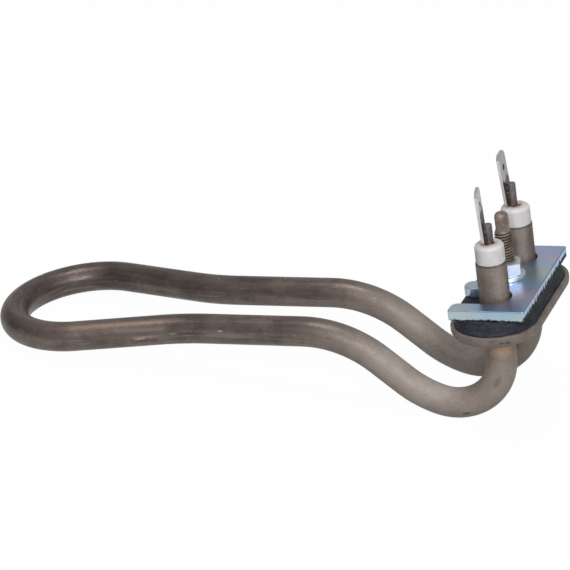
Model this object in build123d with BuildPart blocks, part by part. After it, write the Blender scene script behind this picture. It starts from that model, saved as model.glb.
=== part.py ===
from build123d import *
from math import cos, radians, sin
import os

os.makedirs("parts", exist_ok=True)

# Tubular heating element: a hairpin of sheathed heater tube held in an oval flange.
# Frame: origin on the stud axis, at the face where the gasket meets the clamp plate.
# +Z runs along the terminals, the heated loop reaches out towards -X.
# The two tube legs stand at -Y (near) and +Y (far). All sizes are in millimetres.

# Heater tube
sheath_od = 8.5
sheath_wall = 0.7
tube_top_z = 13.5
elbow_z = -15.5

# Centreline of one leg, from the flange outwards
elbow_radius = 14.4
elbow_angle = 109.0
sweep_radius = 29.8
sweep_angle = 21.7
ramp_length = 9.15
crest_radius = 33.5
run_length = 28.5
spread_radius = 59.8
spread_angle = 13.5
arm_length = 24.7

# Inside of the tube
core_gap = 0.02
coil_od = 3.6
coil_overlap = 5.0
pin_diameter = 2.3
pin_bottom_z = -13.0
seal_height = 3.5

# Ceramic bead in the mouth of the tube
bead_od = 8.1
bead_height = 5.3
bead_edge_radius = 1.2
spigot_gap = 0.1
spigot_length = 3.5
bead_bore_clearance = 0.5
bead_mouth_chamfer = 0.2

# Terminal pins and tabs, near leg first
pin_shift_x = (0.28, -0.38)
pin_top_z = (24.25, 25.35)
tab_bottom_z = (19.0, 19.0)
tab_turn = (10.0, 2.0)
tab_lean = (2.5, 4.3)
tab_width = 6.3
tab_thickness = 0.8
tab_length = 15.4
tab_corner = 1.2
tab_foot_corner = 0.4
tab_hole = 1.7
tab_hole_from_tip = 4.3
weld_depth = 0.08
pin_top_chamfer = 0.15

# Flange cup
cup_width = 25.2
cup_end_land = 9.35
cup_height = 3.4
cup_wall = 1.0
cup_outer_radius = 2.2
cup_rim_z = -3.7
cup_rim_radius = 0.35

# Gasket
gasket_gap = 0.1
gasket_shoulder = 0.3
gasket_draft = 19.0
gasket_leg_gap = 0.05
gasket_stud_gap = 0.15

# Clamp plate
plate_thickness = 3.0
plate_left_x = -10.6
plate_right_x = 11.1
inner_finger_width = 5.25
outer_finger_width = 4.45
plate_middle_y = -1.1
slot_middle_y = -0.45
leg_slot_clearance = 0.5
stud_slot_clearance = 0.5
inner_finger_rounding = 0.45
outer_finger_rounding = 0.46
outer_finger_corner = 0.8
plate_corner_radius = 0.7
plate_edge_radius = 0.3

# Stud, washer and nut
stud_diameter = 5.0
stud_shank_diameter = 4.48
stud_neck_diameter = 3.7
stud_tip_diameter = 3.85
thread_top_z = 16.2
stud_tip_z = 22.25
stud_tip_height = 3.6
stud_neck_height = 0.9
stud_tip_radius = 1.3
washer_od = 10.0
washer_bore_clearance = 0.15
washer_height = 1.0
washer_edge_radius = 0.2
nut_across_flats = 8.0
nut_height = 3.7
nut_bore_gap = 0.03
nut_face_share = 0.95
nut_corner_slope = 0.5
nut_mouth_chamfer = 0.35
nut_rotation = -20.0

# Brazed joint under the flange
braze_leg = 1.1
braze_gap = 0.05

leg_slot_width = sheath_od + 2 * leg_slot_clearance
stud_slot_width = stud_diameter + 2 * stud_slot_clearance
leg_pitch = leg_slot_width + stud_slot_width + 2 * inner_finger_width
leg_y = leg_pitch / 2
cup_length = leg_pitch + sheath_od + 2 * cup_end_land
plate_length = leg_pitch + leg_slot_width + 2 * outer_finger_width
sheath_id = sheath_od - 2 * sheath_wall
core_od = sheath_id - 2 * core_gap
bead_bore = pin_diameter + 2 * bead_bore_clearance
cup_bottom_z = cup_rim_z - cup_height
cup_floor_z = cup_bottom_z + cup_wall
gasket_bottom_chamfer = cup_outer_radius - cup_wall
seal_top_z = tube_top_z - spigot_length
seal_bottom_z = seal_top_z - seal_height
bead_top_z = tube_top_z + bead_height
washer_z = plate_thickness
washer_bore = stud_diameter + 2 * washer_bore_clearance
nut_z = plate_thickness + washer_height
nut_top_z = nut_z + nut_height
sides = ("near", "far")
side_y = {"near": -leg_y, "far": leg_y}


def turn(point, heading, towards, radius, angle):
    """Middle and end of an arc, and the heading and side direction that leave it."""
    half = radians(angle) / 2
    full = radians(angle)
    middle = point + heading * radius * sin(half) + towards * radius * (1 - cos(half))
    end = point + heading * radius * sin(full) + towards * radius * (1 - cos(full))
    onward = heading * cos(full) + towards * sin(full)
    return middle, end, onward, towards * cos(full) - heading * sin(full)


def hairpin_axis(start_z):
    """Centreline from start_z in the near leg, round the loop, to start_z in the far leg."""
    out = Vector(-1, 0, 0)
    p0 = Vector(0, leg_y, start_z)
    p1 = Vector(0, leg_y, elbow_z)
    m1, p2, head, side = turn(p1, Vector(0, 0, -1), out, elbow_radius, elbow_angle)
    m2, p3, head, side = turn(p2, head, side, sweep_radius, sweep_angle)
    p4 = p3 + head * ramp_length
    rise = elbow_angle + sweep_angle - 90
    m3, p5, head, side = turn(p4, head, side * -1, crest_radius, rise)
    p6 = p5 + out * run_length
    m4, p7, head, side = turn(p6, out, Vector(0, 1, 0), spread_radius, spread_angle)
    p8 = p7 + head * arm_length
    loop_radius = p8.Y / cos(radians(spread_angle))
    tip = Vector(p8.X - loop_radius * (1 + sin(radians(spread_angle))), 0, p8.Z)
    chain = (p0, p1, m1, p2, m2, p3, p4, m3, p5, p6, m4, p7, p8)
    near = [Vector(p.X, -p.Y, p.Z) for p in chain]
    q = near + [tip] + list(reversed(chain))
    with BuildLine() as axis:
        Line(q[0], q[1])
        ThreePointArc(q[1], q[2], q[3])
        ThreePointArc(q[3], q[4], q[5])
        Line(q[5], q[6])
        ThreePointArc(q[6], q[7], q[8])
        Line(q[8], q[9])
        ThreePointArc(q[9], q[10], q[11])
        Line(q[11], q[12])
        ThreePointArc(q[12], q[13], q[14])
        Line(q[14], q[15])
        ThreePointArc(q[15], q[16], q[17])
        Line(q[17], q[18])
        ThreePointArc(q[18], q[19], q[20])
        Line(q[20], q[21])
        ThreePointArc(q[21], q[22], q[23])
        ThreePointArc(q[23], q[24], q[25])
        Line(q[25], q[26])
    return axis.wires()[0]


def save(built, name):
    """Label one finished piece and write it out."""
    built.part.label = name
    export_step(built.part, f"parts/{name}.step")


def weld_plane(index):
    """Plane of the face where a tab meets its pin, X across the tab and Y up it."""
    spin = radians(tab_turn[index])
    tip_over = radians(tab_lean[index])
    across = Vector(-sin(spin), cos(spin), 0)
    level = Vector(cos(spin), sin(spin), 0)
    normal = level * cos(tip_over) + Vector(0, 0, 1) * sin(tip_over)
    axis_x = pin_shift_x[index]
    weld_z = (bead_top_z + pin_top_z[index]) / 2
    on_axis = Vector(axis_x, side_y[sides[index]], weld_z)
    return Plane(on_axis - normal * (pin_diameter / 2 - weld_depth), x_dir=across, z_dir=normal)


# Sheath: one tube bent into a hairpin, both ends standing through the flange
sheath_axis = hairpin_axis(tube_top_z)
with BuildPart() as sheath_tube:
    with BuildSketch(Plane.XY.offset(tube_top_z)):
        with Locations((0, -leg_y)):
            Circle(sheath_od / 2)
            Circle(sheath_id / 2, mode=Mode.SUBTRACT)
    sweep(path=sheath_axis)
save(sheath_tube, "sheath_tube")

# Resistance coil: the round envelope of the winding, slipped over both pin ends
coil_axis = hairpin_axis(pin_bottom_z + coil_overlap)
with BuildPart() as resistance_coil:
    with BuildSketch(Plane.XY.offset(pin_bottom_z + coil_overlap)):
        with Locations((0, -leg_y)):
            Circle(coil_od / 2)
    sweep(path=coil_axis)
    for index, side in enumerate(sides):
        with BuildSketch(Plane.XY.offset(pin_bottom_z)):
            with Locations((pin_shift_x[index], side_y[side])):
                Circle(pin_diameter / 2)
        extrude(amount=coil_overlap, mode=Mode.SUBTRACT)
save(resistance_coil, "resistance_coil")

# Magnesia powder pressed around the coil and the pins, from seal to seal
powder_axis = hairpin_axis(seal_bottom_z)
with BuildPart() as magnesia_filling:
    with BuildSketch(Plane.XY.offset(seal_bottom_z)):
        with Locations((0, -leg_y)):
            Circle(core_od / 2)
    sweep(path=powder_axis)
    add(resistance_coil.part, mode=Mode.SUBTRACT)
    for index, side in enumerate(sides):
        with BuildSketch(Plane.XY.offset(pin_bottom_z)):
            with Locations((pin_shift_x[index], side_y[side])):
                Circle(pin_diameter / 2)
        extrude(amount=seal_bottom_z - pin_bottom_z, mode=Mode.SUBTRACT)
save(magnesia_filling, "magnesia_filling")

for index, side in enumerate(sides):
    y = side_y[side]
    pin_x = pin_shift_x[index]

    # End seal: compound poured on the powder, below the bead
    with BuildPart() as end_seal:
        with BuildSketch(Plane.XY.offset(seal_bottom_z)):
            with Locations((0, y)):
                Circle(core_od / 2)
            with Locations((pin_x, y)):
                Circle(pin_diameter / 2, mode=Mode.SUBTRACT)
        extrude(amount=seal_height)
    save(end_seal, f"end_seal_{side}")

    # Ceramic bead: a head that sits on the tube end and a spigot in its mouth
    with BuildPart() as ceramic_insulator:
        with BuildSketch(Plane.XY.offset(seal_top_z)):
            with Locations((0, y)):
                Circle(sheath_id / 2 - spigot_gap)
        extrude(amount=spigot_length)
        with BuildSketch(Plane.XY.offset(tube_top_z)):
            with Locations((0, y)):
                Circle(bead_od / 2)
        extrude(amount=bead_height)
        rim = ceramic_insulator.edges().filter_by(GeomType.CIRCLE).sort_by(Axis.Z)[-1]
        fillet(rim, radius=bead_edge_radius)
        with BuildSketch(Plane.XY.offset(seal_top_z)):
            with Locations((0, y)):
                Circle(bead_bore / 2)
        extrude(amount=spigot_length + bead_height, mode=Mode.SUBTRACT)
        mouth = ceramic_insulator.edges().filter_by(GeomType.CIRCLE).sort_by(Axis.Z)[-1]
        chamfer(mouth, length=bead_mouth_chamfer)
    save(ceramic_insulator, f"ceramic_insulator_{side}")

    # Terminal pin: round rod with a flat pressed by the tab weld
    with BuildPart() as terminal_pin:
        with BuildSketch(Plane.XY.offset(pin_bottom_z)):
            with Locations((pin_x, y)):
                Circle(pin_diameter / 2)
        extrude(amount=pin_top_z[index] - pin_bottom_z)
        chamfer(terminal_pin.edges().sort_by(Axis.Z)[-1], length=pin_top_chamfer)
        weld = weld_plane(index)
        tab_foot = tab_bottom_z[index] - weld.origin.Z
        with BuildSketch(weld):
            with Locations((0, tab_foot)):
                Rectangle(2 * pin_diameter, tab_length, align=(Align.CENTER, Align.MIN))
        extrude(amount=-pin_diameter, mode=Mode.SUBTRACT)
    save(terminal_pin, f"terminal_pin_{side}")

    # Tab terminal: flat blade with clipped tip corners and a latch hole
    with BuildPart() as tab_terminal:
        with BuildSketch(weld) as blade:
            with Locations((0, tab_foot)):
                Rectangle(tab_width, tab_length, align=(Align.CENTER, Align.MIN))
            corners = blade.vertices().group_by(Axis.Z)
            chamfer(corners[-1], length=tab_corner)
            chamfer(corners[0], length=tab_foot_corner)
            with Locations((0, tab_foot + tab_length - tab_hole_from_tip)):
                Circle(tab_hole / 2, mode=Mode.SUBTRACT)
        extrude(amount=-tab_thickness)
    save(tab_terminal, f"tab_terminal_{side}")

    # Braze ring: fillet of brazing metal between the leg and the underside of the cup
    with BuildPart() as braze_ring:
        with BuildSketch(Plane.XZ.offset(-y)):
            with BuildLine():
                wall = sheath_od / 2
                edge = wall + braze_leg
                low = cup_bottom_z - braze_leg
                bulge = braze_leg * (1 - cos(radians(45)))
                Line((wall, cup_bottom_z), (edge, cup_bottom_z))
                ThreePointArc((edge, cup_bottom_z), (wall + bulge, cup_bottom_z - bulge), (wall, low))
                Line((wall, low), (wall, cup_bottom_z))
            make_face()
        revolve(axis=Axis((0, y, 0), (0, 0, 1)))
    save(braze_ring, f"braze_ring_{side}")

# Flange cup: a drawn oval dish with a hole for each leg
with BuildPart() as flange_cup:
    with BuildSketch(Plane.XY.offset(cup_bottom_z)):
        SlotOverall(cup_length, cup_width, rotation=90)
    extrude(amount=cup_height)
    fillet(flange_cup.faces().sort_by(Axis.Z)[0].edges(), radius=cup_outer_radius)
    offset(amount=-cup_wall, openings=flange_cup.faces().sort_by(Axis.Z)[-1])
    fillet(flange_cup.faces().sort_by(Axis.Z)[-1].outer_wire().edges(), radius=cup_rim_radius)
    with BuildSketch(Plane.XY.offset(cup_bottom_z)):
        with Locations((0, -leg_y), (0, leg_y)):
            Circle(sheath_od / 2 + braze_gap)
    extrude(amount=cup_wall, mode=Mode.SUBTRACT)
save(flange_cup, "flange_cup")

# Gasket: a rubber block that fills the cup and draws in towards the clamp plate
with BuildPart() as gasket:
    block_length = cup_length - 2 * (cup_wall + gasket_gap)
    block_width = cup_width - 2 * (cup_wall + gasket_gap)
    shoulder_z = cup_rim_z + gasket_shoulder
    with BuildSketch(Plane.XY.offset(cup_floor_z)):
        SlotOverall(block_length, block_width, rotation=90)
    extrude(amount=shoulder_z - cup_floor_z)
    chamfer(gasket.faces().sort_by(Axis.Z)[0].edges(), length=gasket_bottom_chamfer)
    with BuildSketch(Plane.XY.offset(shoulder_z)):
        SlotOverall(block_length, block_width, rotation=90)
    extrude(amount=-shoulder_z, taper=gasket_draft)
    with BuildSketch(Plane.XY.offset(cup_floor_z)):
        with Locations((0, -leg_y), (0, leg_y)):
            Circle(sheath_od / 2 + gasket_leg_gap)
        Circle(stud_shank_diameter / 2 + gasket_stud_gap)
    extrude(amount=-cup_floor_z, mode=Mode.SUBTRACT)
save(gasket, "gasket")

# Clamp plate: a stamped comb whose open slots pass the two legs and the stud
with BuildPart() as clamp_plate:
    with BuildSketch() as comb:
        with Locations(((plate_left_x + plate_right_x) / 2, plate_middle_y)):
            Rectangle(plate_right_x - plate_left_x, plate_length)
        with Locations((0, slot_middle_y - leg_y), (0, slot_middle_y + leg_y)):
            Circle(leg_slot_width / 2, mode=Mode.SUBTRACT)
            Rectangle(-plate_left_x, leg_slot_width, align=(Align.MAX, Align.CENTER), mode=Mode.SUBTRACT)
        with Locations((0, slot_middle_y)):
            Circle(stud_slot_width / 2, mode=Mode.SUBTRACT)
            Rectangle(-plate_left_x, stud_slot_width, align=(Align.MAX, Align.CENTER), mode=Mode.SUBTRACT)
        tips = comb.vertices().group_by(Axis.X)[0].sort_by(Axis.Y)
        fillet(tips[2:6], radius=inner_finger_width * inner_finger_rounding)
        fillet([tips[1], tips[6]], radius=outer_finger_width * outer_finger_rounding)
        fillet([tips[0], tips[7]], radius=outer_finger_corner)
        fillet(comb.vertices().group_by(Axis.X)[-1], radius=plate_corner_radius)
    extrude(amount=plate_thickness)
    fillet(clamp_plate.faces().sort_by(Axis.Z)[-1].edges(), radius=plate_edge_radius)
save(clamp_plate, "clamp_plate")

# Stud: shank at the thread's pitch diameter up to the nut, full thread above it, then a neck and tip
with BuildPart() as stud:
    with BuildSketch(Plane.XZ):
        with BuildLine():
            thread = stud_diameter / 2
            shank = stud_shank_diameter / 2
            neck = stud_neck_diameter / 2
            bulb = stud_tip_diameter / 2
            bulb_z = stud_tip_z - stud_tip_height
            neck_z = bulb_z - stud_neck_height
            crown_z = stud_tip_z - stud_tip_radius
            crown = bulb - stud_tip_radius
            slope = stud_tip_radius * (1 - cos(radians(45)))
            Line((0, cup_floor_z), (shank, cup_floor_z))
            Line((shank, cup_floor_z), (shank, nut_top_z))
            Line((shank, nut_top_z), (thread, nut_top_z))
            Line((thread, nut_top_z), (thread, thread_top_z))
            Line((thread, thread_top_z), (neck, neck_z))
            Line((neck, neck_z), (bulb, bulb_z))
            Line((bulb, bulb_z), (bulb, crown_z))
            ThreePointArc((bulb, crown_z), (bulb - slope, stud_tip_z - slope), (crown, stud_tip_z))
            Line((crown, stud_tip_z), (0, stud_tip_z))
            Line((0, stud_tip_z), (0, cup_floor_z))
        make_face()
    revolve(axis=Axis.Z)
save(stud, "stud")

# Flat washer, bridging the stud slot
with BuildPart() as flat_washer:
    with BuildSketch(Plane.XY.offset(washer_z)):
        Circle(washer_od / 2)
        Circle(washer_bore / 2, mode=Mode.SUBTRACT)
    extrude(amount=washer_height)
    outer = flat_washer.edges().filter_by(GeomType.CIRCLE).sort_by(SortBy.RADIUS)[-2:]
    fillet(outer, radius=washer_edge_radius)
save(flat_washer, "flat_washer")

# Hex nut, its corners turned off on both faces
with BuildPart() as hex_nut:
    with BuildSketch(Plane.XY.offset(nut_z)):
        RegularPolygon(nut_across_flats / 2, 6, major_radius=False, rotation=nut_rotation)
    extrude(amount=nut_height)
    with BuildSketch(Plane.XZ):
        with BuildLine():
            corner = nut_across_flats / 2 / cos(radians(30))
            flat = nut_across_flats / 2 * nut_face_share
            drop = (corner - flat) * nut_corner_slope
            Polyline((0, nut_z), (flat, nut_z), (corner, nut_z + drop), (corner, nut_top_z - drop),
                     (flat, nut_top_z), (0, nut_top_z), close=True)
        make_face()
    revolve(axis=Axis.Z, mode=Mode.INTERSECT)
    with BuildSketch(Plane.XY.offset(nut_z)):
        Circle(stud_shank_diameter / 2 + nut_bore_gap)
    extrude(amount=nut_height, mode=Mode.SUBTRACT)
    ends = hex_nut.edges().filter_by(GeomType.CIRCLE).sort_by(SortBy.RADIUS)[:2]
    chamfer(ends, length=nut_mouth_chamfer)
save(hex_nut, "hex_nut")
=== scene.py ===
# %% [markdown]
# # A tubular heating element, dressed for rendering
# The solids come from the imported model: a hairpin of sheathed heater tube, an oval flange cup
# with its rubber gasket, a stamped clamp plate, a stud with washer and nut, and two terminals.
# This lesson keeps every solid whose shape is already right and gives it a finish. It remakes
# three solids with detail that a plain solid can't hold: the tube's long smooth sweep with the
# streaks that follow it, the fine thread of the stud and the torn walls of the stamped plate. It
# adds the weld beads beside the pins and the baked compound round them.

# %% Load the frame
import bmesh
import bpy
import numpy as np
from mathutils import Matrix


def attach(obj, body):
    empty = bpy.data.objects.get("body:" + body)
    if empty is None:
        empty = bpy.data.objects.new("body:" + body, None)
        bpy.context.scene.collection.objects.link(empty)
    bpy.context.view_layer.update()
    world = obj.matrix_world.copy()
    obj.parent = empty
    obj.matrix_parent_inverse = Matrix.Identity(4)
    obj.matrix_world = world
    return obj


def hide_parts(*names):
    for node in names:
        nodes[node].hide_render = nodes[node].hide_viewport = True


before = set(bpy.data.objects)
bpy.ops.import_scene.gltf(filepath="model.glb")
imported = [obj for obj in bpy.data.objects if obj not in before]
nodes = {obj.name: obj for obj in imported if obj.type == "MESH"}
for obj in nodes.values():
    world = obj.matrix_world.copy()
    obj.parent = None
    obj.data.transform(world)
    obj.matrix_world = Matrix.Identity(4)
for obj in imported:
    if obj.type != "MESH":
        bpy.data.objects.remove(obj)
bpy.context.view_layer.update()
scene = bpy.context.scene
scene.view_settings.view_transform = "Standard"
print("loaded", len(nodes), "solids")

# %% [markdown]
# ## Camera
# The photograph was taken from the front and a little above, from about 0.93 m, with the
# terminals to the right. The camera is written as a place and three directions in the part's
# own frame. A long lens keeps the perspective as weak as it is there.

# %% Camera
camera_place = (0.26412, -0.78999, 0.36744)
camera_right = (0.93487, 0.33106, -0.12809)
camera_up = (-0.02242, 0.41518, 0.90946)
camera_back = (0.35427, -0.84736, 0.39557)
lens_in_widths = 5.7833


def aim(place, right, up, back):
    """World matrix of an object at place whose own X, Y and Z axes are right, up and back."""
    columns = Matrix((right, up, back)).transposed().to_4x4()
    return Matrix.Translation(place) @ columns


camera_data = bpy.data.cameras.new("camera")
camera = bpy.data.objects.new("camera", camera_data)
camera_data.sensor_width = 36.0
camera_data.lens = camera_data.sensor_width * lens_in_widths
camera_data.clip_start = 0.01
camera_data.clip_end = 20.0
camera.matrix_world = aim(camera_place, camera_right, camera_up, camera_back)
scene.collection.objects.link(camera)
scene.camera = camera
print("lens", round(camera_data.lens, 1), "mm")

# %% [markdown]
# ## The line of the tube
# The hairpin is straight runs joined by arcs, so its centre line is a chain of segments. Each
# one has a start, a heading, a side towards which it turns, a radius and a length. Asking the
# chain for points at evenly spaced distances gives whole arrays, ready for a swept surface.

# %% Sizes of the tube, in metres
mm = 0.001
sheath_radius = 4.25 * mm
bore_radius = 3.55 * mm
leg_y = 13.0 * mm
tube_top_z = 13.5 * mm
elbow_z = -15.5 * mm
elbow_degrees, sweep_degrees = 109.0, 21.7
elbow_radius, elbow_angle = 14.4 * mm, np.radians(elbow_degrees)
sweep_radius, sweep_angle = 29.8 * mm, np.radians(sweep_degrees)
ramp_length = 9.15 * mm
crest_radius, crest_angle = 33.5 * mm, np.radians(elbow_degrees + sweep_degrees - 90.0)
run_length = 28.5 * mm
spread_radius, spread_angle = 59.8 * mm, np.radians(13.5)
arm_length = 24.7 * mm


def centre_line(spacing):
    """Points, headings and turning axes along the hairpin, about spacing apart.
    A straight piece is start + heading * t. An arc is start + heading * r sin(t / r)
    + side * r (1 - cos(t / r)), and its heading turns towards its side by t / r."""
    spread_y = leg_y + spread_radius * (1 - np.cos(spread_angle)) + arm_length * np.sin(spread_angle)
    loop_radius = spread_y / np.cos(spread_angle)
    half = [(0, tube_top_z - elbow_z), (elbow_radius, elbow_angle), (sweep_radius, sweep_angle),
            (0, ramp_length), (-crest_radius, crest_angle), (0, run_length)]
    spread = [(-spread_radius, spread_angle), (0, arm_length), (loop_radius, np.pi + 2 * spread_angle),
              (0, arm_length), (-spread_radius, spread_angle)]
    back = [(0, run_length), (-crest_radius, crest_angle), (0, ramp_length),
            (sweep_radius, sweep_angle), (elbow_radius, elbow_angle), (0, tube_top_z - elbow_z)]
    here = np.array([0.0, -leg_y, tube_top_z])
    heading = np.array([0.0, 0.0, -1.0])
    points, headings, axes = [here[None]], [heading[None]], [np.array([[0.0, 1.0, 0.0]])]
    for part, turn_axis in ((half, (0, 1, 0)), (spread, (0, 0, -1)), (back, (0, -1, 0))):
        for radius, amount in part:
            side = np.cross(turn_axis, heading) * (-1 if radius < 0 else 1)
            reach = abs(radius)
            length = amount if reach == 0 else reach * amount
            t = np.linspace(0, length, max(2, int(np.ceil(length / spacing))) + 1)[1:, None]
            if reach == 0:
                run, turned = here + heading * t, np.repeat(heading[None], len(t), 0)
            else:
                turn = t / reach
                run = here + heading * reach * np.sin(turn) + side * reach * (1 - np.cos(turn))
                turned = heading * np.cos(turn) + side * np.sin(turn)
            points.append(run)
            headings.append(turned)
            axes.append(np.repeat(np.array([turn_axis], float), len(t), 0))
            here, heading = run[-1], turned[-1]
    return np.vstack(points), np.vstack(headings), np.vstack(axes)


line, headings, turn_axes = centre_line(0.7 * mm)
print("centre line", len(line), "points, end", np.round(line[-1] / mm, 2),
      "lowest x, y and z", np.round(line.min(0) / mm, 2))

# %% [markdown]
# ## Swept surfaces
# A tube, a thread and a weld bead are all a round section carried along a line. One helper
# takes a grid of points, joins neighbours into quads, and closes the ends where the real piece
# is closed. Every shape below is worked out as one array and handed to this helper.

# %% A mesh from a grid of points
def signed_volume(grid, close_rows):
    """Sum of p0 . (p1 x p2) / 6 over the two triangles of every quad: above zero if faces point out."""
    side = np.roll(grid, -1, 1)
    below, beside = np.roll(grid, -1, 0), np.roll(side, -1, 0)
    if not close_rows:
        grid, side, below, beside = grid[:-1], side[:-1], below[:-1], beside[:-1]
    parts = np.cross(side, beside) + np.cross(beside, below)
    return float((grid * parts).sum() / 6)


def merge_poles(mesh):
    """Joins points that lie on each other, so that a pole is one point with triangles round it."""
    shell = bmesh.new()
    shell.from_mesh(mesh)
    bmesh.ops.remove_doubles(shell, verts=shell.verts, dist=1e-7)
    shell.to_mesh(mesh)
    shell.free()


def grid_piece(name, grid, replaced=None, ends="shut", marks=None):
    """Mesh object from grid[row, column, xyz]. Columns always close on themselves. Rows close too
    where ends is "joined", are poles where it is "shut", and get a flat lid where it is "lids".
    marks holds values that each point keeps for a finish: a name and an array of 1 or 3 numbers."""
    grid = np.asarray(grid, float)
    marks = dict(marks or {})
    if signed_volume(grid, ends == "joined") < 0:
        grid = grid[:, ::-1]
        marks = {key: value[:, ::-1] for key, value in marks.items()}
    rows, columns, _ = grid.shape
    a = np.arange(rows if ends == "joined" else rows - 1)[:, None] * columns
    b = np.arange(columns)[None]
    c = (b + 1) % columns
    below = (a + columns) % (rows * columns)
    quads = np.stack([a + b, a + c, below + c, below + b], -1).reshape(-1, 4)
    corners, starts = quads.ravel(), np.arange(len(quads)) * 4
    if ends == "lids":
        first_lid, last_lid = np.arange(columns)[::-1], np.arange(columns) + (rows - 1) * columns
        corners = np.concatenate([corners, first_lid, last_lid])
        starts = np.concatenate([starts, [quads.size, quads.size + columns]])
    mesh = bpy.data.meshes.new(name)
    mesh.vertices.add(rows * columns)
    mesh.vertices.foreach_set("co", grid.astype(np.float32).ravel())
    mesh.loops.add(len(corners))
    mesh.loops.foreach_set("vertex_index", corners.astype(np.int32))
    mesh.polygons.add(len(starts))
    mesh.polygons.foreach_set("loop_start", starts.astype(np.int32))
    mesh.polygons.foreach_set("use_smooth", np.arange(len(starts)) < len(quads))
    for key, value in marks.items():
        single = value.ndim == 2
        mark = mesh.attributes.new(key, "FLOAT" if single else "FLOAT_VECTOR", "POINT")
        mark.data.foreach_set("value" if single else "vector", value.astype(np.float32).ravel())
    mesh.update(calc_edges=True)
    if ends == "shut":
        merge_poles(mesh)
    mesh.update()
    piece = bpy.data.objects.new(name, mesh)
    scene.collection.objects.link(piece)
    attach(piece, "root")
    if replaced:
        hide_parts(replaced)
    print(name, rows, "x", columns, "points")
    return piece


# %% [markdown]
# ## The sheath
# The real sheath is one stainless tube, filled, drawn down, annealed and bent. Its solid is a
# fair tube, but the finish runs along it: drawn streaks, and heat colours that change from the
# flange to the loop. So the tube is swept again with a finer section, and each point also keeps
# its distance along the line and its place round it, for the finish to read. The inner wall
# comes back along the same line, so that the tube is hollow and its mouth is a true ring. A
# curve with a round bevel could sweep it too, but its points would keep no distance.

# %% Sweep the sheath
def carried_frame(headings, axes):
    """Two directions across the line that never twist along it. Where the line bends about a level
    axis, that axis is the first. In the loop, which bends about Z, it is Z cross the heading."""
    level = np.abs(axes[:, 2:]) < 0.5
    across = np.where(level, axes, np.cross(axes, headings))
    return across, np.cross(headings, across)


across, other = carried_frame(headings, turn_axes)
distance = np.concatenate([[0.0], np.cumsum(np.linalg.norm(np.diff(line, axis=0), axis=1))])
around = np.linspace(0, 2 * np.pi, 56, endpoint=False)
ring = np.cos(around)[None, :, None] * across[:, None] + np.sin(around)[None, :, None] * other[:, None]
lip = 0.25 * mm
outer = line[:, None] + sheath_radius * ring
inner = (line[:, None] + bore_radius * ring)[::-1]
near_lip = line[:1, None] + (sheath_radius - lip) * ring[:1]
far_lip = line[-1:, None] + (sheath_radius - lip) * ring[-1:]
outer[0] = outer[0] + headings[0] * lip
outer[-1] = outer[-1] - headings[-1] * lip
sheath_grid = np.concatenate([near_lip, outer, far_lip, inner])
round_x, round_y = sheath_radius * np.cos(around), sheath_radius * np.sin(around)
rolled = np.stack(np.broadcast_arrays(distance[:, None], round_x, round_y), -1)
rolled_grid = np.concatenate([rolled[:1], rolled, rolled[-1:], rolled[::-1]])
sheath = grid_piece("sheath_sweep", sheath_grid, "sheath_tube", "joined",
                    {"tube_coords": rolled_grid})

# %% [markdown]
# ## The stud's thread
# The real stud has a rolled M5 thread that shows above the nut, a plain neck and a rounded
# lead-in tip. A screw surface gives it all in one: the radius at any height and turn follows
# the tip's profile, less a groove whose depth is a triangle wave of height minus pitch times
# turn. The groove fades out into the neck, as a rolled thread does.

# %% Thread and tip of the stud
stud_foot_z, nut_top_z, thread_top_z, stud_tip_z = -6.1 * mm, 7.7 * mm, 16.2 * mm, 22.25 * mm
thread_pitch, thread_depth = 0.8 * mm, 0.45 * mm
profile_z = np.array([-6.1, 7.65, 7.7, 16.2, 17.0, 17.75, 18.65, 19.3,
                      20.95, 21.45, 21.85, 22.13, 22.25]) * mm
profile_r = np.array([2.24, 2.24, 2.49, 2.49, 2.05, 1.85, 1.92, 1.925,
                      1.925, 1.81, 1.55, 1.15, 0.6]) * mm


def screw_grid(rows, columns):
    """Radius = profile(z) - depth * groove, where groove is 1 at the root and 0 at the crest of a
    triangle wave in (z / pitch - turn), flattened at both ends as on a rolled thread."""
    run_out = thread_top_z + 1.0 * mm
    z = np.concatenate([[stud_foot_z] * 2, np.linspace(stud_foot_z, nut_top_z - 0.1 * mm, 6)[1:],
                        np.linspace(nut_top_z - 0.05 * mm, run_out, rows),
                        np.linspace(run_out, stud_tip_z, 40)[1:], [stud_tip_z] * 2])
    turn = np.linspace(0, 2 * np.pi, columns, endpoint=False)
    radius = np.interp(z, profile_z, profile_r)[:, None] * np.ones((1, columns))
    radius[-2:] = np.array([[0.3 * mm], [0.0]])
    wave = (z[:, None] / thread_pitch - turn[None] / (2 * np.pi)) % 1.0
    groove = np.clip(1.35 * (1 - np.abs(2 * wave - 1)) - 0.15, 0, 1)
    fade_in = np.clip((z - nut_top_z) / (0.1 * mm), 0, 1)
    fade_out = np.clip((run_out - 0.3 * mm - z) / (0.9 * mm), 0, 1)
    radius = radius - thread_depth * groove * (fade_in * fade_out)[:, None]
    radius[0] = 0.0
    height = np.repeat(z[:, None], columns, 1)
    return np.stack([radius * np.cos(turn), radius * np.sin(turn), height], -1)


stud_piece = grid_piece("stud_thread", screw_grid(190, 72), "stud")

# %% [markdown]
# ## The clamp plate
# The real plate is stamped from 3 mm strip. The punch leaves a bright, slightly drawn upper edge,
# a smooth sheared band, and below it a rough torn band that is darker. A solid has plain walls,
# so the plate is made again: its outline comes from corners with radii, each row of points is
# that outline moved inwards a little, and a seeded sum of waves roughens the torn band. The tear
# is about 0.4 mm high on most walls and up to 1.6 mm on the right-hand ones.

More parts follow.
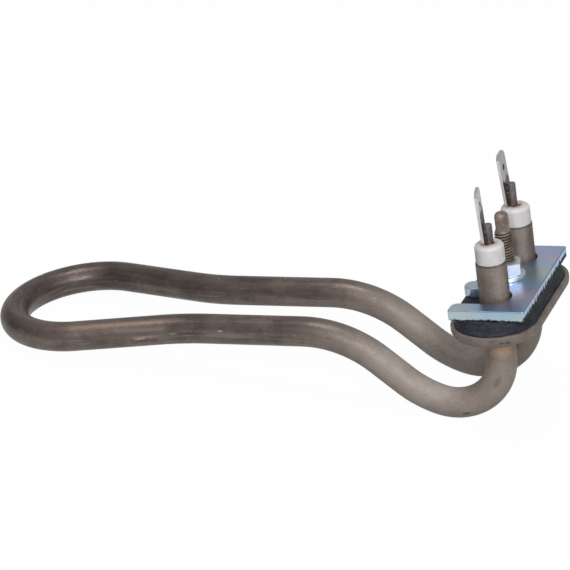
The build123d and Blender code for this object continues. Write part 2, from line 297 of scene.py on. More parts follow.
# %% Outline of the plate
def rounded_outline(corners, spacing):
    """Closed outline of corners (x, y, radius), as evenly spaced points and their outward normals.
    An arc is start + u r sin(a) + w r (1 - cos(a)), with u the way in and w square to it."""
    corners = np.array(corners) * mm
    here = corners[:, :2]
    way_in = here - np.roll(here, 1, 0)
    way_in = way_in / np.linalg.norm(way_in, axis=1, keepdims=True)
    way_out = np.roll(way_in, -1, 0)
    points, ways = [], []
    for corner, radius, u, w in zip(here, corners[:, 2], way_in, way_out):
        angle = np.linspace(0, np.pi / 2, 40)[:, None]
        points.append(corner - u * radius + u * radius * np.sin(angle) + w * radius * (1 - np.cos(angle)))
        ways.append(u * np.cos(angle) + w * np.sin(angle))
    points, ways = np.vstack(points), np.vstack(ways)
    closed = np.vstack([points, points[:1]])
    reach = np.concatenate([[0.0], np.cumsum(np.linalg.norm(np.diff(closed, axis=0), axis=1))])
    even = np.linspace(0, reach[-1], int(reach[-1] / spacing), endpoint=False)
    spread = np.stack([np.interp(even, reach, closed[:, k]) for k in (0, 1)], -1)
    turned = np.stack([np.interp(even, reach, np.append(ways[:, k], ways[0, k])) for k in (0, 1)], -1)
    turned = turned / np.linalg.norm(turned, axis=1, keepdims=True)
    return spread, np.stack([turned[:, 1], -turned[:, 0]], -1), even / reach[-1]


plate_left, plate_right, slot_end, stud_slot_end = -10.6, 11.1, 4.75, 3.0
leg_slot_radius, stud_slot_radius = 4.75, 3.0
finger_radius, outer_finger_radius = 2.3625, 2.047
plate_corners = [
    (plate_right, -23.3, 0.7), (plate_right, 21.1, 0.7),
    (plate_left, 21.1, 0.8), (plate_left, 17.3, outer_finger_radius),
    (slot_end, 17.3, leg_slot_radius), (slot_end, 7.8, leg_slot_radius),
    (plate_left, 7.8, finger_radius), (plate_left, 2.55, finger_radius),
    (stud_slot_end, 2.55, stud_slot_radius), (stud_slot_end, -3.45, stud_slot_radius),
    (plate_left, -3.45, finger_radius), (plate_left, -8.7, finger_radius),
    (slot_end, -8.7, leg_slot_radius), (slot_end, -18.2, leg_slot_radius),
    (plate_left, -18.2, outer_finger_radius), (plate_left, -23.3, 0.8)]
outline, outward, part_way = rounded_outline(plate_corners, 0.14 * mm)
print("plate outline", len(outline), "points")

# %% Sheared and torn walls
random = np.random.default_rng(7)


def waves(s, z, lowest, highest, count=48):
    """Smooth noise of about -1 to 1: the sum of cos(2 pi (m s + n z) + phase) over random whole m,
    so that it meets itself where s comes round from 1 to 0, and random n per metre."""
    m = random.integers(lowest, highest, count)[:, None, None]
    n = random.uniform(-1.0, 1.0, count)[:, None, None] * highest * 4.0
    phase = random.uniform(0, 2 * np.pi, count)[:, None, None]
    total = np.cos(2 * np.pi * (m * s[None, None] + n * z[None, :, None]) + phase).sum(0)
    return total / np.sqrt(count)


plate_height, soft_edge = 3.0 * mm, 0.3 * mm
bend = np.linspace(np.pi / 2, 0, 6)
edge_z = plate_height - soft_edge * (1 - np.sin(bend))
wall_z = np.linspace(edge_z[-1], 0, 24)[1:]
row_z = np.concatenate([edge_z, wall_z])
row_inset = np.concatenate([soft_edge * (1 - np.cos(bend)), np.zeros(len(wall_z))])
still = np.zeros(1)
ragged = 0.75 * waves(part_way, still, 40, 110)[0] + 0.6 * waves(part_way, still, 120, 420)[0]
right_wall = np.clip(outward[:, 0], 0, 1)
tear_height = 0.38 + 1.22 * right_wall
tear_swing = 0.2 + 0.4 * right_wall
tear_line = (tear_height + ragged * tear_swing) * mm
torn = np.clip((tear_line[None] - row_z[:, None]) / (0.1 * mm), 0, 1)
rough = 0.5 + 0.35 * waves(part_way, row_z, 150, 600)
tear_depth = 0.12 + 0.3 * np.clip(rough, 0, 1)
inset = row_inset[:, None] + torn * tear_depth * mm
plate_grid = np.empty((len(row_z), len(outline), 3))
plate_grid[..., :2] = outline[None] - outward[None] * inset[..., None]
plate_grid[..., 2] = row_z[:, None]
plate_piece = grid_piece("sheared_plate", plate_grid, "clamp_plate", "lids", {"torn": torn})

# %% [markdown]
# ## Weld beads
# Each tab is resistance-welded to the flat of its pin. The photograph shows the burnt metal that
# was squeezed out there, as a rough dark seam down each side of the pin. A seam is a thin lumpy
# cord: its radius is a mean plus a few sines along it, and it is pressed against pin and tab.

# %% Weld beads beside the pins
pin_x = {"near": 0.28 * mm, "far": -0.38 * mm}
pin_y = {"near": -leg_y, "far": leg_y}
tab_turn = {"near": np.radians(10.0), "far": np.radians(2.0)}
tab_lean = {"near": np.radians(2.5), "far": np.radians(4.3)}
weld_middle = {"near": 21.525 * mm, "far": 22.075 * mm}
weld_length = {"near": 4.9 * mm, "far": 6.0 * mm}
pin_radius, weld_depth = 1.15 * mm, 0.08 * mm
weld_radius, weld_offset = 0.52 * mm, 0.5 * mm


def weld_seam(side, hand, seed):
    """Cord along the tab's face, at the corner between the pin's round side and the tab.
    radius(t) = r0 (0.62 + 0.22 sin(9 t + seed) + 0.16 sin(23 t + 2.1 seed)) sqrt(1 - t^6), with t
    from -1 to 1, so that it closes to nothing at both ends."""
    spin, lean = tab_turn[side], tab_lean[side]
    across_tab = np.array([-np.sin(spin), np.cos(spin), 0.0])
    level = np.array([np.cos(spin), np.sin(spin), 0.0])
    normal = level * np.cos(lean) + np.array([0.0, 0.0, 1.0]) * np.sin(lean)
    upward = np.cross(normal, across_tab)
    middle = np.array([pin_x[side], pin_y[side], weld_middle[side]]) - normal * (pin_radius - weld_depth)
    half_chord = np.sqrt(pin_radius ** 2 - (pin_radius - weld_depth) ** 2)
    t = np.linspace(-1, 1, 61)
    shape = 0.62 + 0.22 * np.sin(9.0 * t + seed) + 0.16 * np.sin(23.0 * t + 2.1 * seed)
    radius = weld_radius * shape * np.sqrt(np.clip(1 - t ** 6, 0, 1))
    turn = np.linspace(0, 2 * np.pi, 18, endpoint=False)
    beside_pin = middle + hand * across_tab * (half_chord + weld_offset)
    centre = beside_pin + upward * t[:, None] * weld_length[side] / 2
    centre = centre + normal * 0.45 * radius[:, None]
    out = np.cos(turn)[None, :, None] * across_tab + np.sin(turn)[None, :, None] * normal
    return centre[:, None] + radius[:, None, None] * out


weld_beads = []
for side in ("near", "far"):
    for hand, word in ((-1, "front"), (1, "rear")):
        seed = 1.3 * hand + (0.4 if side == "near" else 2.2)
        seam = weld_seam(side, hand, seed)
        weld_beads.append(grid_piece(f"weld_bead_{side}_{word}", seam))

# %% [markdown]
# ## Collars round the pins
# Sealing compound has crept up round each pin and baked brown in the mouth of the bead. A collar
# fills the ring between the pin and the bore. Its section is a short curve that climbs the pin,
# carried from a circle round the leg's axis to one round the pin's own axis.

# %% Baked collars
bead_top, bore = 18.8 * mm, 1.62 * mm


def collar_grid(side):
    """Point = outer circle + share (inner circle - outer circle), at a height that rises with share."""
    turn = np.linspace(0, 2 * np.pi, 48, endpoint=False)
    circle = np.stack([np.cos(turn), np.sin(turn)], -1)
    share = np.array([0.0, 0.0, 0.25, 0.5, 0.75, 1.0, 1.0])[:, None, None]
    rise = np.array([-1.5, -0.42, -0.4, -0.33, -0.2, 0.05, -1.5]) * mm
    wobble = 0.06 * mm * np.sin(3 * turn + pin_y[side] * 90)[None] * (rise > -mm)[:, None]
    outer = circle[None] * bore
    inner = circle[None] * (pin_radius + 0.01 * mm) + np.array([pin_x[side], 0.0])
    flat = outer + share * (inner - outer) + np.array([0.0, pin_y[side]])
    return np.concatenate([flat, (bead_top + rise[:, None] + wobble)[..., None]], -1)


collars = []
for side in ("near", "far"):
    collars.append(grid_piece(f"baked_collar_{side}", collar_grid(side), ends="joined"))

# %% [markdown]
# ## Finishes
# Every finish is a small node tree on a Principled shader. The colours are written as they would
# be read off a screen and turned to linear light once. Patterns are noise on the part's own
# coordinates, in metres, so a scale of 1000 has features of about a millimetre.

# %% Screen colours
def screen(red, green, blue):
    """Linear colour of a screen colour of 0 to 255: c / 12.92 for the darkest tones, where c is up
    to 0.04045, and ((c + 0.055) / 1.055) ^ 2.4 above that."""
    c = np.array([red, green, blue]) / 255.0
    linear = np.where(c <= 0.04045, c / 12.92, ((c + 0.055) / 1.055) ** 2.4)
    return (*[float(v) for v in linear], 1.0)


print("a screen grey of 128 is", round(screen(128, 128, 128)[0], 3), "of white in linear light")

# %% [markdown]
# A finish could be wired by hand in the shader editor. A small class keeps the lesson short: it
# adds a node, links or sets its sockets and hands back the output, so a pattern reads as a line.

# %% A finish and its nodes
class Finish:
    """A material being built: its tree, its Principled shader and short ways to add nodes."""

    def __init__(self, name, metallic, roughness, specular=0.5):
        self.material = bpy.data.materials.new(name)
        self.material.use_nodes = True
        self.tree = self.material.node_tree
        self.shader = self.tree.nodes["Principled BSDF"]
        self.shader.inputs["Metallic"].default_value = metallic
        self.shader.inputs["Roughness"].default_value = roughness
        self.shader.inputs["Specular IOR Level"].default_value = specular

    def put(self, socket, value):
        """Link a socket's value into another socket, or set it there as a constant."""
        if isinstance(value, bpy.types.NodeSocket):
            self.tree.links.new(value, socket)
        else:
            socket.default_value = value

    def add(self, kind, **values):
        """New node of a kind. Values that name a property are set on the node, others on its inputs."""
        node = self.tree.nodes.new(kind)
        for key, value in values.items():
            if hasattr(node, key):
                setattr(node, key, value)
            else:
                self.put(node.inputs[key.replace("_", " ")], value)
        return node

    def place(self, scale=(1, 1, 1), turn=(0, 0, 0)):
        """Object coordinates, scaled and turned."""
        source = self.add("ShaderNodeTexCoord").outputs["Object"]
        return self.add("ShaderNodeMapping", Vector=source, Scale=scale, Rotation=turn).outputs["Vector"]

    def axes(self, vector=None):
        """The X, Y and Z of a vector, or of the object coordinates."""
        parts = self.add("ShaderNodeSeparateXYZ", Vector=self.place() if vector is None else vector)
        return parts.outputs["X"], parts.outputs["Y"], parts.outputs["Z"]

    def noise(self, vector, scale, detail=4.0, roughness=0.55, distortion=0.0):
        """Soft noise around 0.5, with features about 1 / scale in size."""
        return self.add("ShaderNodeTexNoise", Vector=vector, Scale=scale, Detail=detail,
                        Roughness=roughness, Distortion=distortion).outputs["Fac"]

    def steps(self, factor, *stops):
        """Number or colour that follows factor through stops of (place, value)."""
        ramp = self.add("ShaderNodeValToRGB", Fac=factor)
        elements = ramp.color_ramp.elements
        while len(elements) < len(stops):
            elements.new(0.5)
        for element, (at, value) in zip(elements, stops):
            element.position = at
            element.color = value if isinstance(value, tuple) else (value, value, value, 1.0)
        return ramp.outputs["Color"]

    def blend(self, factor, first, second, how="MIX"):
        """Colour mix of two colours or sockets by factor."""
        mix = self.tree.nodes.new("ShaderNodeMix")
        mix.data_type, mix.blend_type = "RGBA", how
        for number, value in ((0, factor), (6, first), (7, second)):
            self.put(mix.inputs[number], value)
        return mix.outputs[2]

    def over(self, base, mask, tone):
        """Base with a screen tone laid over it as far as the mask says."""
        return self.blend(mask, base, screen(*tone))

    def between(self, factor, low, high, first, second):
        """Mix of two screen tones: the first where factor is below low, the second above high."""
        return self.blend(self.steps(factor, (low, 0.0), (high, 1.0)), screen(*first), screen(*second))

    def maths(self, how, first, second=0.0):
        """One sum on two numbers or sockets, named as the Math node names it."""
        node = self.tree.nodes.new("ShaderNodeMath")
        node.operation = how
        self.put(node.inputs[0], first)
        self.put(node.inputs[1], second)
        return node.outputs[0]

    def product(self, first, second):
        return self.maths("MULTIPLY", first, second)

    def swing(self, value, width):
        """A value around 0.5, such as a noise, moved to lie around 0 and widened."""
        return self.product(self.maths("SUBTRACT", value, 0.5), width)

    def reach(self, first, second):
        """Length of (first, second)."""
        squares = self.maths("ADD", self.product(first, first), self.product(second, second))
        return self.maths("SQRT", squares)

    def within(self, value, low, high, to_low=0.0, to_high=1.0):
        """Value mapped from low..high to to_low..to_high, and held there outside."""
        return self.add("ShaderNodeMapRange", Value=value, clamp=True, From_Min=low, From_Max=high,
                        To_Min=to_low, To_Max=to_high).outputs[0]

    def band(self, value, rise, fall):
        """1 from the end of the range rise to the end of the range fall, fading to 0 at their starts."""
        return self.product(self.within(value, *rise), self.within(value, *fall))

    def ellipsoid(self, place, centre, half_sizes):
        """Distance from a centre, counted in half sizes: 1 on the ellipsoid's surface."""
        size = 1 / np.array(half_sizes)
        local = self.add("ShaderNodeMapping", Vector=place, Scale=tuple(size),
                         Location=tuple(-size * np.array(centre))).outputs["Vector"]
        return self.add("ShaderNodeVectorMath", operation="LENGTH", Vector=local).outputs["Value"]

    def colour(self, socket):
        self.put(self.shader.inputs["Base Color"], socket)

    def rough(self, socket):
        self.put(self.shader.inputs["Roughness"], socket)

    def metal(self, socket):
        self.put(self.shader.inputs["Metallic"], socket)

    def bumps(self, height, distance, strength=1.0):
        bump = self.add("ShaderNodeBump", Height=height, Distance=distance, Strength=strength)
        self.put(self.shader.inputs["Normal"], bump.outputs["Normal"])


def dress(finish, *pieces):
    """Give a finish to pieces or nodes, in every one of their slots."""
    for piece in pieces:
        if not piece.data.materials:
            piece.data.materials.append(finish.material)
        for slot in piece.material_slots:
            slot.material = finish.material
    print(finish.material.name, "on", ", ".join(piece.name for piece in pieces))


# %% [markdown]
# ## Blasted and heat-toned stainless
# The sheath left the furnace grey and was then blasted, so near the flange it is an even warm
# grey with a fine grain, and hardly shines. Towards the loop it turns browner and darker, with
# cloudy patches, light rubs along the tube and a few scratches. The finish reads the distance
# along the line that each point keeps. Noise stretched along the tube draws the streaks, and
# noise stretched round it draws the faint turning rings of the upright ends.

# %% Patterns on the sheath
f = sheath_finish = Finish("sheath_steel", 0.12, 0.5, 0.1)
rolled_place = f.add("ShaderNodeAttribute", attribute_name="tube_coords").outputs["Vector"]
along, _, downward = f.axes(rolled_place)
tube_length = float(distance[-1])
from_end = f.maths("MINIMUM", along, f.maths("SUBTRACT", tube_length, along))
patches = f.noise(rolled_place, 90.0, 4.0, 0.55)
blotches = f.noise(rolled_place, 330.0, 4.0, 0.6)
grain = f.noise(rolled_place, 2600.0, 2.0)


def drawn(scale, detail, turn=(0, 0, 0)):
    """Noise stretched by a scale of its own along the tube and across it."""
    stretched = f.add("ShaderNodeMapping", Vector=rolled_place, Scale=scale, Rotation=turn)
    return f.noise(stretched.outputs["Vector"], 1.0, detail, 0.6)


streaks = drawn((45, 900, 900), 5.0)
rubs = drawn((110, 3200, 3200), 2.0)
cuts = drawn((900, 260, 3600), 1.0, (0.5, 0.3, 0.2))
rings = drawn((2600, 60, 60), 2.0)
print("the line of the tube is", round(tube_length / mm, 1), "mm long")

# %% [markdown]
# The tube has zones. The first 80 mm from each end stay plain. Beyond about 100 mm heat has toned
# the steel, sooner on top of the tube than below it. Within the plain part, the rise after the
# elbow is painted lighter, as painted light, and the upright ends are smoked and dirty where the
# plate holds them. The loop and the far arm are a little darker than the near arm.

# %% Zones along the sheath
wander = f.maths("SUBTRACT", f.swing(patches, 30 * mm), downward)
zone = f.within(f.maths("ADD", from_end, wander), 82 * mm, 105 * mm)
# painted light: the rise after the elbow, which is painted lighter
painted_light_on_rise = f.band(from_end, (40 * mm, 60 * mm), (88 * mm, 74 * mm))
upright = f.within(from_end, 14.5 * mm, 12.5 * mm)
plate_foot = f.band(from_end, (8.6 * mm, 10.4 * mm), (12.5 * mm, 11.5 * mm))
dark_side = f.band(along, (168 * mm, 188 * mm), (300 * mm, 268 * mm))
braze_band = f.band(from_end, (17.2 * mm, 20.5 * mm), (27.2 * mm, 23 * mm))
mouth = f.within(from_end, 0.6 * mm, 0.3 * mm)
print("zones drawn with", len(f.tree.nodes), "nodes")

# %% [markdown]
# Two steels are mixed by the zone. Each starts as two tones that one noise picks between, and
# layers go over it one by one: blotches, drawn streaks, rubs, dark and light grains. The
# scratches, the colour of the braze and the dirt at the mouth come last, over both.

# %% Plain and toned steel
plain = f.between(patches, 0.35, 0.65, (133, 122, 114), (152, 141, 132))
# painted light: the rise after the elbow is painted lighter
plain = f.over(plain, f.product(painted_light_on_rise, 0.7), (162, 152, 145))
plain = f.over(plain, f.steps(blotches, (0.5, 0.0), (0.75, 0.35)), (108, 98, 92))
plain = f.over(plain, f.product(upright, f.steps(patches, (0.38, 0.9), (0.62, 0.15))), (104, 94, 87))
plain = f.over(plain, f.product(upright, f.steps(rings, (0.52, 0.0), (0.72, 0.35))), (88, 78, 72))
plain = f.over(plain, f.steps(grain, (0.56, 0.0), (0.7, 0.25)), (82, 73, 68))
plain = f.over(plain, f.steps(grain, (0.3, 0.18), (0.42, 0.0)), (196, 186, 178))
plain = f.over(plain, f.product(upright, f.steps(streaks, (0.46, 0.0), (0.62, 0.45))), (102, 92, 82))
plain = f.over(plain, f.product(plate_foot, f.within(blotches, 0.3, 0.6, 0.25, 0.75)), (88, 78, 70))
toned = f.between(patches, 0.36, 0.62, (80, 74, 72), (108, 99, 95))
toned = f.over(toned, f.steps(streaks, (0.42, 0.0), (0.66, 0.55)), (136, 118, 107))
toned = f.over(toned, f.steps(blotches, (0.5, 0.0), (0.72, 0.55)), (72, 64, 62))
toned = f.over(toned, f.steps(rubs, (0.64, 0.0), (0.78, 0.6)), (176, 160, 150))
toned = f.over(toned, f.steps(grain, (0.58, 0.0), (0.72, 0.3)), (58, 52, 50))
toned = f.over(toned, f.steps(grain, (0.28, 0.3), (0.4, 0.0)), (150, 138, 130))
toned = f.blend(dark_side, toned, (0.86, 0.86, 0.86, 1.0), "MULTIPLY")
shade = f.blend(zone, plain, toned)
shade = f.over(shade, f.steps(cuts, (0.735, 0.0), (0.77, 0.5)), (198, 186, 176))
shade = f.over(shade, f.product(braze_band, f.within(blotches, 0.36, 0.56, 0.2, 0.7)), (176, 150, 122))
shade = f.over(shade, f.product(mouth, 0.7), (62, 54, 49))
print("both steels drawn with", len(f.tree.nodes), "nodes")

# %% [markdown]
# Some marks have a place of their own. Each is an ellipse in the tube's own coordinates. It is
# given by its distance from the near end in millimetres, its turn round the tube in degrees, its
# half length and half width in millimetres, its strength and its tone. Noise breaks its rim, so
# that no edge looks drawn.

# %% Marks on the sheath
marks = [
    # the rubbed top of the near arm, partly a painted highlight, and four short scratches
    (156.0, 238, 22.0, 1.5, 0.5, (156, 134, 120)), (147.0, 180, 4.5, 0.35, 0.5, (170, 146, 124)),
    (148.5, 174, 1.8, 0.22, 0.9, (190, 182, 176)), (138.5, 186, 1.5, 0.5, 0.6, (150, 138, 130)),
    (123.6, 198, 1.0, 0.3, 0.8, (196, 186, 178)),
    # an orange heat stain under the flange, and two small dark stains on the elbow
    (24.6, 158, 3.0, 3.4, 0.75, (206, 172, 144)), (34.5, 172, 2.2, 1.1, 0.6, (110, 98, 80)),
    (48.2, 154, 1.3, 0.7, 0.7, (80, 70, 62)),
    # a darker stretch on the rise of the far leg
    (350.0, 330, 9.0, 4.6, 0.55, (104, 95, 88)),
    # painted highlights on the fronts and painted shade on the sides of the near and the far upright end
    (5.0, 132, 6.5, 2.0, 0.5, (164, 152, 144)), (5.0, 196, 8.0, 1.6, 0.5, (96, 88, 80)),
    (408.0, 32, 6.5, 1.8, 0.2, (154, 142, 132)), (407.0, 76, 8.0, 2.2, 0.65, (88, 79, 73)),
    (407.0, 356, 8.0, 1.4, 0.35, (100, 92, 82))]
rim_noise = f.swing(f.noise(rolled_place, 1400.0, 3.0), 1.4)
for at, turn, half_length, half_width, strength, tone in marks:
    turned = np.radians(turn)
    centre = (at * mm, sheath_radius * np.cos(turned), sheath_radius * np.sin(turned))
    half_sizes = (half_length * mm, half_width * mm, half_width * mm)
    reach = f.maths("ADD", f.ellipsoid(rolled_place, centre, half_sizes), rim_noise)
    shade = f.over(shade, f.within(reach, 1.2, 0.35, 0.0, strength), tone)
f.colour(shade)
gloss = f.product(zone, f.within(streaks, 0.35, 0.65, -0.06, -0.17))
f.rough(f.maths("ADD", gloss, f.within(grain, 0.3, 0.7, 0.46, 0.58)))
f.metal(f.within(zone, 0.0, 1.0, 0.1, 0.58))
f.bumps(f.maths("ADD", grain, f.product(cuts, 0.6)), 0.03 * mm, 0.5)
dress(sheath_finish, sheath)

# %% [markdown]
# ## Flange cup
# The drawn cup has the same furnace grey. Around the brazed joints its underside carries an
# orange heat tint, so the finish measures the distance from each leg's axis and warms the colour
# there, which needs no painted map. Small dark scuffs are strewn over the cup, and two lie side
# by side on its front wall.

# %% Flange finish
f = flange_finish = Finish("flange_steel", 0.1, 0.5, 0.15)
spot = f.place()
x, y, z = f.axes(spot)


def from_leg_axis(finish, x, y):
    """Distance from the nearer leg's axis: length of (x, |y| - leg_y)."""
    return finish.reach(x, finish.maths("SUBTRACT", finish.maths("ABSOLUTE", y), leg_y))


tint = f.product(f.within(from_leg_axis(f, x, y), 10.5 * mm, 5 * mm), f.within(z, -5.3 * mm, -6.6 * mm))
cloud = f.noise(spot, 220.0, 4.0, 0.6)
brushed = f.noise(f.place((1, 1, 9)), 420.0, 3.0)
scuffs = f.noise(f.place((1, 1, 2.5), (0.2, 0.1, 0)), 520.0, 2.0)
grain = f.noise(spot, 2600.0, 2.0)
base = f.between(cloud, 0.35, 0.65, (108, 98, 92), (132, 122, 114))
base = f.over(base, f.steps(brushed, (0.5, 0.0), (0.72, 0.45)), (150, 139, 130))
base = f.over(base, f.steps(scuffs, (0.74, 0.0), (0.78, 0.85)), (62, 54, 48))
scuff_places = np.array([(4.7, -25.6, -5.2), (6.3, -24.9, -5.3)]) * mm
scuff_half_sizes = (mm / 1.1, mm / 1.1, mm / 2.8)
for scuff_place in scuff_places:
    reach = f.maths("ADD", f.ellipsoid(spot, scuff_place, scuff_half_sizes), f.swing(cloud, 1.6))
    base = f.over(base, f.within(reach, 1.1, 0.5, 0.0, 0.8), (58, 50, 44))
f.colour(f.over(base, f.product(tint, f.within(cloud, 0.3, 0.6, 0.4, 0.85)), (176, 146, 116)))
f.rough(f.within(grain, 0.3, 0.7, 0.44, 0.56))
f.bumps(grain, 0.03 * mm, 0.5)
dress(flange_finish, nodes["flange_cup"])

# %% [markdown]
# ## Stud and braze
# The stud came through the same furnace. Dirt and oxide stay in its thread, so its colour darkens
# towards the axis, and one distance finds every turn of the groove. The braze is a coppery metal
# that the heat has toned, with a lumpy skin.

# %% Stud finish
f = stud_finish = Finish("stud_steel", 0.5, 0.5, 0.2)
spot = f.place()
x, y, z = f.axes(spot)
cloud = f.noise(spot, 500.0, 4.0)
in_groove = f.product(f.within(f.reach(x, y), 2.38 * mm, 2.12 * mm), f.within(z, 16.8 * mm, thread_top_z))
shade = f.between(cloud, 0.38, 0.62, (116, 104, 94), (160, 143, 131))
f.colour(f.over(shade, f.product(in_groove, 0.9), (58, 48, 44)))
f.rough(f.within(cloud, 0.3, 0.7, 0.48, 0.6))
dress(stud_finish, stud_piece)

# %% Braze finish
f = braze_finish = Finish("braze_metal", 0.5, 0.45, 0.3)
cloud = f.noise(f.place(), 700.0, 4.0)
f.colour(f.between(cloud, 0.4, 0.6, (138, 118, 98), (178, 150, 120)))
f.bumps(cloud, 0.1 * mm, 0.6)
dress(braze_finish, nodes["braze_ring_near"], nodes["braze_ring_far"])

# %% [markdown]
# ## Zinc on the clamp plate
# Blue-passivated zinc shows thin-film colours: steel blue that drifts to lilac and a little teal
# over a centimetre or so. Two slow noises pick between those colours, and the ends of the
# fingers go grey. The torn band of the plate's walls takes no shine and collects dirt, and is
# painted nearly black as painted shade besides; the points there keep how torn they are.

# %% Plate finish
f = plate_finish = Finish("plate_zinc", 0.95, 0.25)
spot = f.place()
drift = f.noise(spot, 62.0, 2.0, 0.4, 0.5)
second = f.noise(f.place((1, 1, 1), (0.4, 0.2, 1.1)), 100.0, 2.0, 0.4)
film = f.steps(drift, (0.36, screen(172, 188, 196)), (0.45, screen(150, 182, 214)),
               (0.54, screen(160, 176, 212)), (0.64, screen(180, 176, 198)))
film = f.over(film, f.steps(second, (0.55, 0.0), (0.7, 0.6)), (186, 194, 198))
film = f.over(film, f.within(f.axes(spot)[0], -4.5 * mm, -9 * mm, 0.0, 0.65), (190, 197, 196))
torn_share = f.add("ShaderNodeAttribute", attribute_name="torn").outputs["Fac"]
torn_tone_and_shade = f.noise(f.place((1, 1, 0.35)), 1100.0, 3.0)
# painted shade: the torn band is painted nearly black, partly its dirt and partly shade from the gasket
f.colour(f.blend(torn_share, film, f.between(torn_tone_and_shade, 0.46, 0.68, (26, 31, 38), (96, 118, 128))))
scuff = f.noise(f.place((1, 6, 1), (0, 0, 0.6)), 900.0, 3.0)
f.rough(f.maths("ADD", f.within(scuff, 0.3, 0.7, 0.28, 0.38), f.product(torn_share, 0.3)))
f.metal(f.within(torn_share, 0.0, 1.0, 0.95, 0.3))
f.bumps(f.noise(spot, 90.0, 1.0), 0.1 * mm, 0.45)
dress(plate_finish, plate_piece)

# %% [markdown]
# Nut and washer have a paler and glossier coat of zinc. They show mostly the room and the plate,
# so a little noise in colour and gloss is enough.

# %% Nut and washer finish
f = nut_finish = Finish("nut_zinc", 0.7, 0.2)
cloud = f.noise(f.place(), 350.0, 3.0)
f.colour(f.between(cloud, 0.4, 0.62, (230, 235, 241), (243, 246, 250)))
f.rough(f.within(cloud, 0.3, 0.7, 0.16, 0.22))
dress(nut_finish, nodes["hex_nut"], nodes["flat_washer"])

# %% [markdown]
# ## Rubber gasket
# The gasket is matt black rubber with a dusty, smeared and pebbled skin. The dust could be loose
# grains, but at this size noise in colour, gloss and bump looks the same and stays light.

# %% Rubber finish
f = gasket_finish = Finish("gasket_rubber", 0.0, 0.6, 0.35)
pebble = f.noise(f.place(), 1500.0, 4.0, 0.6)
dust = f.noise(f.place((1, 1, 1.6)), 560.0, 6.0, 0.8)
smear = f.noise(f.place((1, 1, 5), (0.3, 0, 0.5)), 150.0, 4.0, 0.6, 0.8)
shade = f.between(smear, 0.42, 0.62, (14, 17, 24), (40, 45, 56))
f.colour(f.over(shade, f.steps(dust, (0.48, 0.0), (0.68, 0.5)), (78, 84, 98)))
f.rough(f.within(dust, 0.3, 0.7, 0.5, 0.75))
f.bumps(f.maths("ADD", pebble, f.product(dust, 1.5)), 0.18 * mm, 0.7)
dress(gasket_finish, nodes["gasket"])

# %% [markdown]
# ## Ceramic beads
# The beads are unglazed white ceramic that lets a little light in, so the shader scatters it just
# under the skin. Their flat top is painted darker as painted shade, and has a brown ring of heat
# round the pin.

# %% Ceramic finish
f = bead_finish = Finish("bead_ceramic", 0.0, 0.55, 0.4)
f.shader.inputs["Subsurface Weight"].default_value = 0.35
f.shader.inputs["Subsurface Radius"].default_value = (1.0, 0.9, 0.85)
f.shader.inputs["Subsurface Scale"].default_value = 0.8 * mm
spot = f.place()
x, y, z = f.axes(spot)
mottle = f.noise(spot, 420.0, 4.0, 0.6)
speck = f.noise(spot, 1700.0, 2.0)
on_top = f.within(z, bead_top - 0.6 * mm, bead_top - 0.1 * mm)
heated_ring = f.product(f.within(from_leg_axis(f, x, y), 3.1 * mm, 1.6 * mm), on_top)
base = f.between(mottle, 0.4, 0.66, (220, 217, 217), (206, 203, 203))
base = f.over(base, f.steps(speck, (0.7, 0.0), (0.78, 0.5)), (156, 146, 136))
# painted shade: the flat top is painted darker
base = f.over(base, f.product(on_top, 0.6), (196, 190, 187))
f.colour(f.over(base, f.product(heated_ring, f.within(mottle, 0.35, 0.6, 0.1, 0.9)), (172, 138, 108)))
f.bumps(f.noise(spot, 1100.0, 3.0), 0.06 * mm, 0.5)
dress(bead_finish, nodes["ceramic_insulator_near"], nodes["ceramic_insulator_far"])

# %% [markdown]
# ## Pins, weld beads and collars
# The pins are scaled dark steel, browner towards the bead. The weld beads are charred, and the
# collars are baked brown. In each, one noise sets both colour and bump, so that they agree.

# %% Pin, weld and collar finishes
f = pin_finish = Finish("pin_steel", 0.35, 0.5, 0.4)
flakes = f.noise(f.place((1, 1, 0.3)), 1300.0, 4.0, 0.6)
low_brown = f.within(f.axes()[2], 22.2 * mm, 19.5 * mm)
upper = f.between(flakes, 0.38, 0.62, (88, 84, 92), (128, 122, 126))
lower = f.between(flakes, 0.38, 0.62, (76, 62, 58), (122, 104, 98))
f.colour(f.blend(low_brown, upper, lower))
f.rough(f.within(flakes, 0.3, 0.7, 0.4, 0.62))
f.bumps(flakes, 0.08 * mm, 0.5)
dress(pin_finish, nodes["terminal_pin_near"], nodes["terminal_pin_far"])

f = weld_finish = Finish("burnt_weld", 0.3, 0.5, 0.4)
char = f.noise(f.place(), 1600.0, 4.0, 0.65)
f.colour(f.steps(char, (0.4, screen(36, 28, 27)), (0.56, screen(84, 68, 62)), (0.68, screen(128, 112, 78))))
f.bumps(char, 0.15 * mm, 0.7)
dress(weld_finish, *weld_beads)

f = collar_finish = Finish("baked_compound", 0.0, 0.4, 0.5)
char = f.noise(f.place(), 900.0, 4.0, 0.6)
f.colour(f.between(char, 0.38, 0.62, (72, 52, 42), (150, 122, 96)))
f.bumps(char, 0.1 * mm, 0.5)
dress(collar_finish, *collars)
